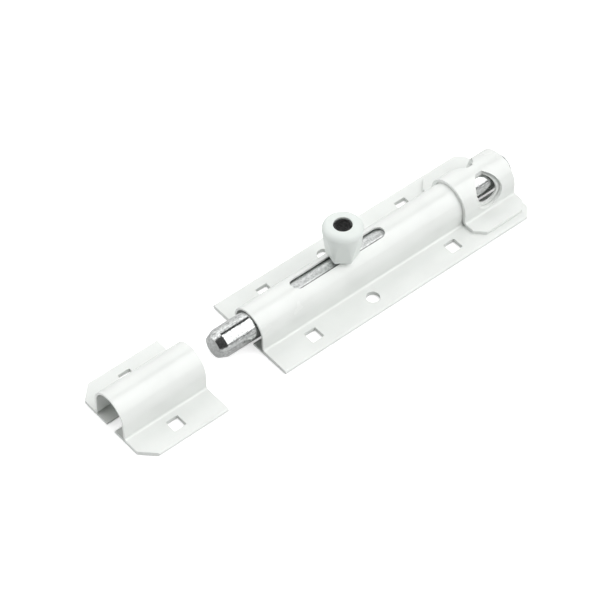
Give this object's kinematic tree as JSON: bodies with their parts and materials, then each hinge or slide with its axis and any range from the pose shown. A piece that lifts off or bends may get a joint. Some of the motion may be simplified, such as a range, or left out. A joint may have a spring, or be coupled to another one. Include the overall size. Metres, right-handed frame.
{
  "type": "barrel bolt",
  "caption": "Surface-mounted barrel bolt: a round rod with a knob slides in a folded arch-shaped channel with a padlock housing at its rear, into a separate arched keep.",
  "frame": {"origin": "midway between the two round screw holes, on the back plane of the channel's plate (Z = 0)", "axes": "+X is the way the bolt is thrown, towards the keep; +Z is away from the door; +Y is across the plate"},
  "size_m": [0.1967, 0.044, 0.0329],
  "materials": {
    "white_coat": "semi-gloss white powder coat on folded steel sheet",
    "bright_plate": "bright zinc plate on drawn steel bar, fine lengthwise draw lines",
    "white_plastic": "satin moulded plastic",
    "black_plastic": "fine-grained moulded plastic",
    "plated_steel": "zinc-plated machined steel"
  },
  "bodies": {
    "housing": {"guide_channel": "white_coat", "padlock_housing": "white_coat", "keep": "white_coat"},
    "bolt": {"bolt_rod": "bright_plate", "slot_collar": "plated_steel", "knob_grip": "white_plastic", "knob_screw": "plated_steel", "knob_plug": "black_plastic"}
  },
  "joints": [
    {"name": "bolt_slide", "type": "slide", "parent": "housing", "child": "bolt", "axis": [1, 0, 0], "range_m": [-0.0177, 0.0227]}
  ]
}
